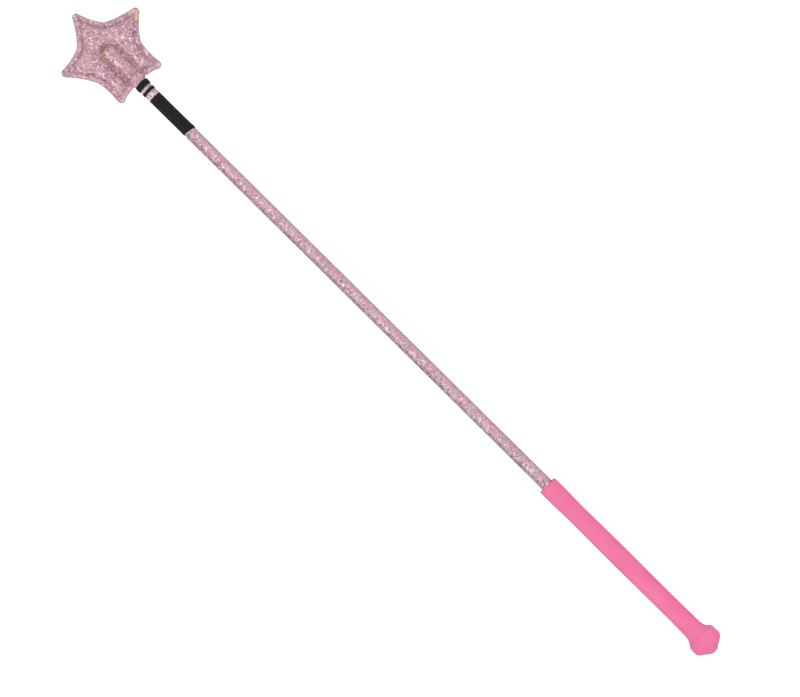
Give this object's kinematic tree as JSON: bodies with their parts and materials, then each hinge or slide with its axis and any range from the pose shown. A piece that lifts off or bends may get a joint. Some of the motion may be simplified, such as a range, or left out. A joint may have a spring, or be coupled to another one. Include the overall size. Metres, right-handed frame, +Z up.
{
  "type": "riding crop",
  "caption": "Short riding crop: rubber grip with a mushroom knob, glitter shaft under a clear tube, black splice sleeve and bands, and a padded star flapper on a flexible stem.",
  "frame": {"origin": "on the surface that the crop lies on, under the middle of its length", "axes": "+X along the crop, from the knob to the star's far tip; +Y across the star; +Z up out of the star's face"},
  "size_m": [0.6501, 0.0732, 0.0238],
  "materials": {
    "pink_rubber": "satin",
    "grip_tape": "matte",
    "fibreglass": "satin",
    "filler_plastic": "matte",
    "glitter_film": "gloss",
    "clear_pvc": "gloss",
    "hot_melt": "satin",
    "heat_shrink": "satin",
    "stem_plastic": "satin",
    "glitter_fabric": "satin",
    "foam": "matte",
    "thread": "satin"
  },
  "bodies": {
    "shaft_assembly": {"grip": "pink_rubber", "grip_tape": "grip_tape", "core_rod": "fibreglass", "shaft_filler": "filler_plastic", "glitter_wrap": "glitter_film", "clear_tube": "clear_pvc", "adhesive_liner": "hot_melt", "splice_sleeve": "heat_shrink", "stem": "stem_plastic", "tip_wrap": "glitter_fabric", "ring_band": "heat_shrink", "neck_binding": "heat_shrink"},
    "star_flapper": {"star_front_panel": "glitter_fabric", "star_back_panel": "glitter_fabric", "star_padding": "foam", "border_needle_thread": "thread", "border_bobbin_thread": "thread", "pocket_needle_thread": "thread", "pocket_bobbin_thread": "thread"}
  },
  "joints": [
    {"name": "flapper_flex", "type": "hinge", "parent": "shaft_assembly", "child": "star_flapper", "pos_m": [0.2573, 0, 0.0119], "axis": [0, 1, 0], "range_deg": [-35, 35], "stiffness_Nm_per_rad": 0.15, "deforming": ["stem"]}
  ]
}
